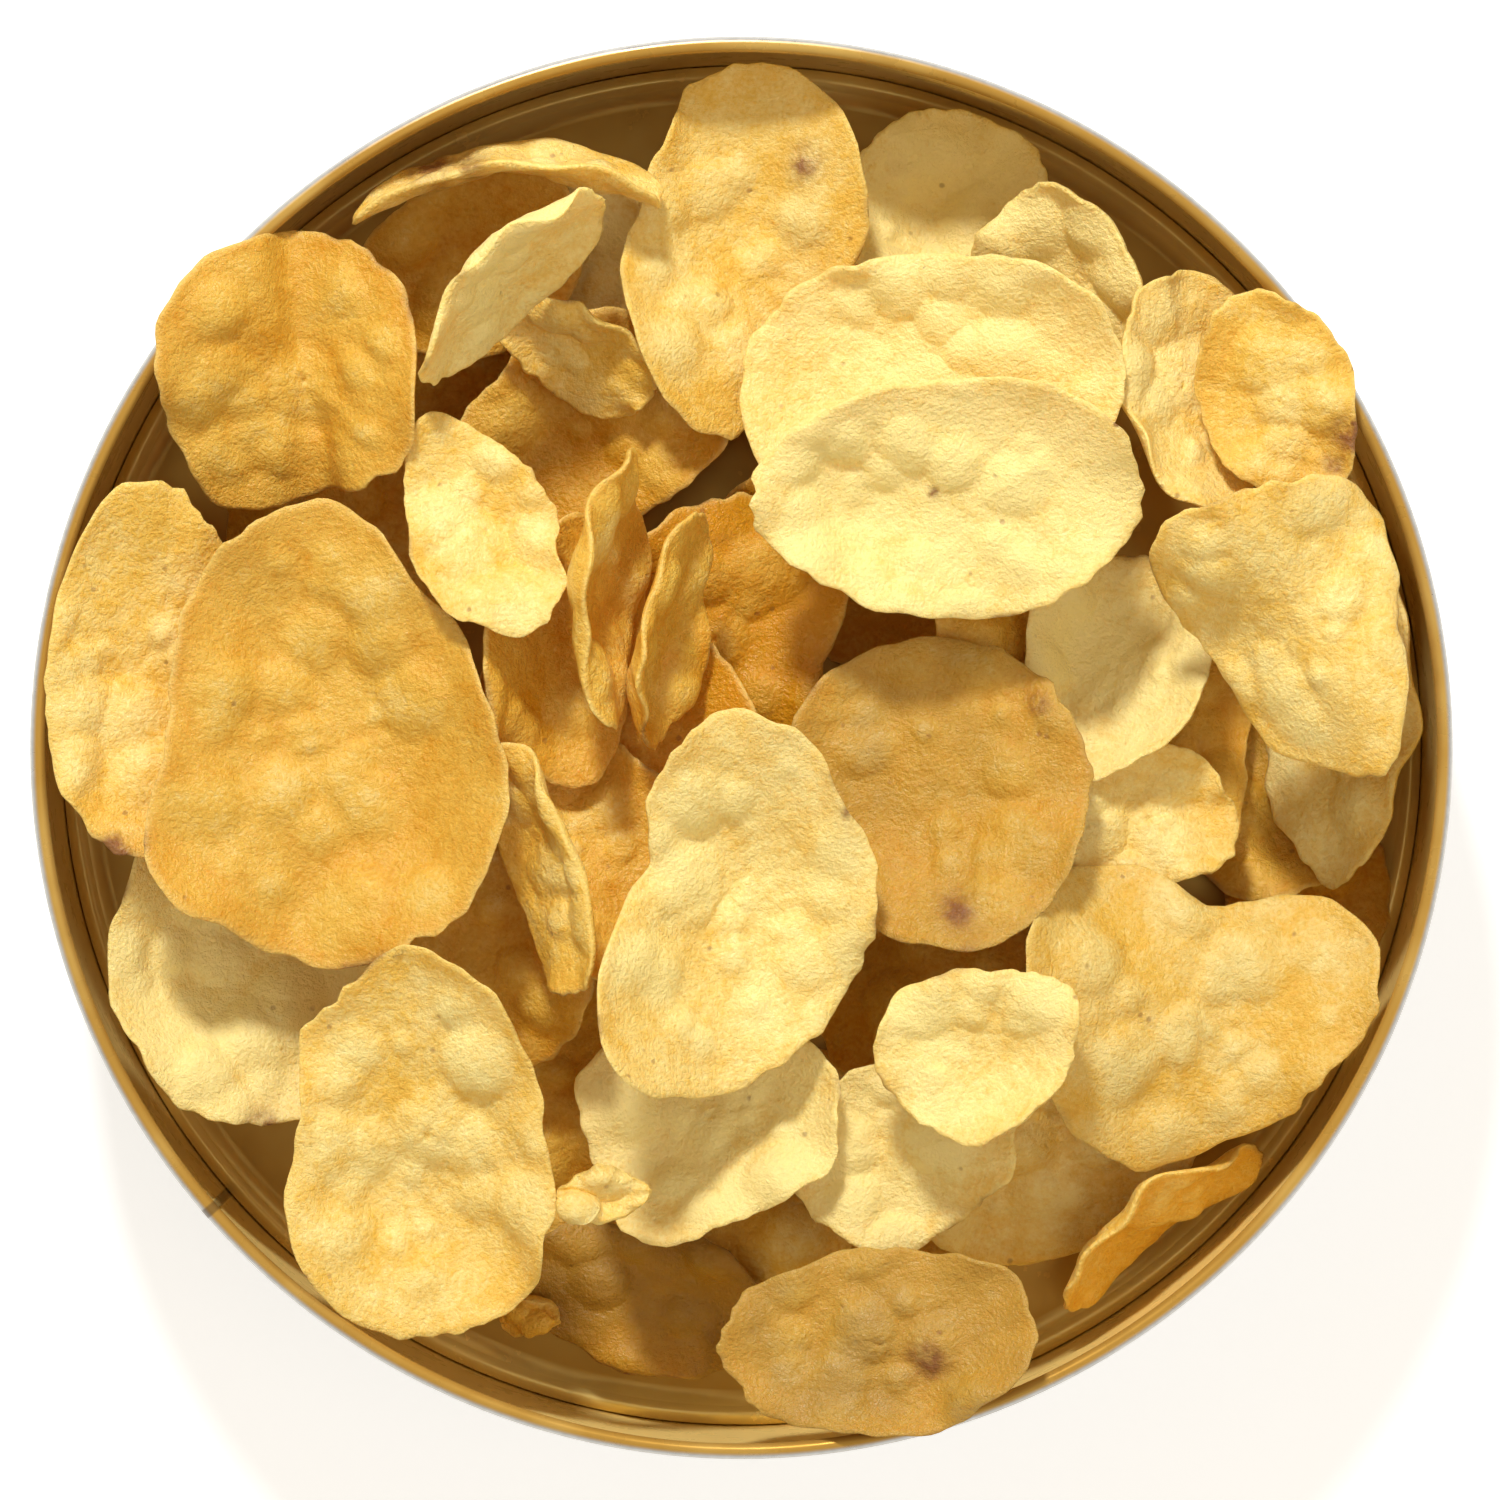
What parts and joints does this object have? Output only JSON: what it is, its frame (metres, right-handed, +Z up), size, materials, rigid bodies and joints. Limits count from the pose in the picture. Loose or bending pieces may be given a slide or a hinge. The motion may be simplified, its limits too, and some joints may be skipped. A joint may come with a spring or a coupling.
{
  "type": "potato chip tin",
  "caption": "Shallow round tin with a rolled lip and a double-seamed floor, open at the top and heaped with curled potato chips.",
  "frame": {"origin": "centre of the base, on the plane the tin stands on", "axes": "+Z up along the tin's axis; +Y is the top of the picture, +X its right"},
  "size_m": [0.2032, 0.2032, 0.0614],
  "materials": {
    "tinplate": "bright rolled tinplate outside, amber lacquer inside",
    "gold_lacquer": "glossy gold lacquer on tinplate",
    "potato_chip": "dry fried slice, pitted, slightly oily"
  },
  "bodies": {
    "root": {"tin_body": "tinplate", "tin_end": "gold_lacquer", "chip_floor_north_west": "potato_chip", "chip_floor_west": "potato_chip", "chip_floor_centre_east": "potato_chip", "chip_floor_centre": "potato_chip", "chip_floor_east": "potato_chip", "chip_floor_south": "potato_chip", "chip_floor_south_small": "potato_chip", "chip_floor_south_shade": "potato_chip", "chip_floor_south_west": "potato_chip", "chip_floor_west_inner": "potato_chip", "chip_floor_south_east": "potato_chip", "chip_east_glow": "potato_chip", "chip_north_left_shade": "potato_chip", "chip_north_rim_shade": "potato_chip", "chip_east_low": "potato_chip", "chip_north_shade": "potato_chip", "chip_north_west_flat": "potato_chip", "chip_east_wall": "potato_chip", "chip_south_low": "potato_chip", "chip_west_gap": "potato_chip", "chip_centre_west": "potato_chip", "chip_east_orange": "potato_chip", "chip_centre_south": "potato_chip", "chip_south_inner": "potato_chip", "chip_south_crescent": "potato_chip", "chip_north_second": "potato_chip", "chip_inner_curve": "potato_chip", "chip_west_low": "potato_chip", "chip_east_lip": "potato_chip", "chip_north_inner": "potato_chip", "chip_centre_leaf_left": "potato_chip", "chip_centre_leaf_steep": "potato_chip", "chip_centre_leaf_right": "potato_chip", "chip_north_west_inner": "potato_chip", "chip_north_edge": "potato_chip", "chip_north_east_lit": "potato_chip", "chip_north_east_curl": "potato_chip", "chip_north_east_rim": "potato_chip", "chip_east_curl": "potato_chip", "chip_east_twist": "potato_chip", "chip_north_tall": "potato_chip", "chip_north_mid": "potato_chip", "chip_south_east_saddle": "potato_chip", "chip_south_east_lit": "potato_chip", "chip_east_mid": "potato_chip", "chip_inner_pointed": "potato_chip", "chip_west_rim": "potato_chip", "chip_west_big": "potato_chip", "chip_north_west_fold": "potato_chip", "chip_north_west_strip": "potato_chip", "chip_north_west_standing": "potato_chip", "chip_south_west_long": "potato_chip", "chip_south_rim": "potato_chip", "chip_south_east_standing": "potato_chip", "chip_south_mid": "potato_chip", "chip_north_east_bright": "potato_chip", "chip_south_fragment": "potato_chip", "chip_south_crumb": "potato_chip"}
  },
  "joints": []
}
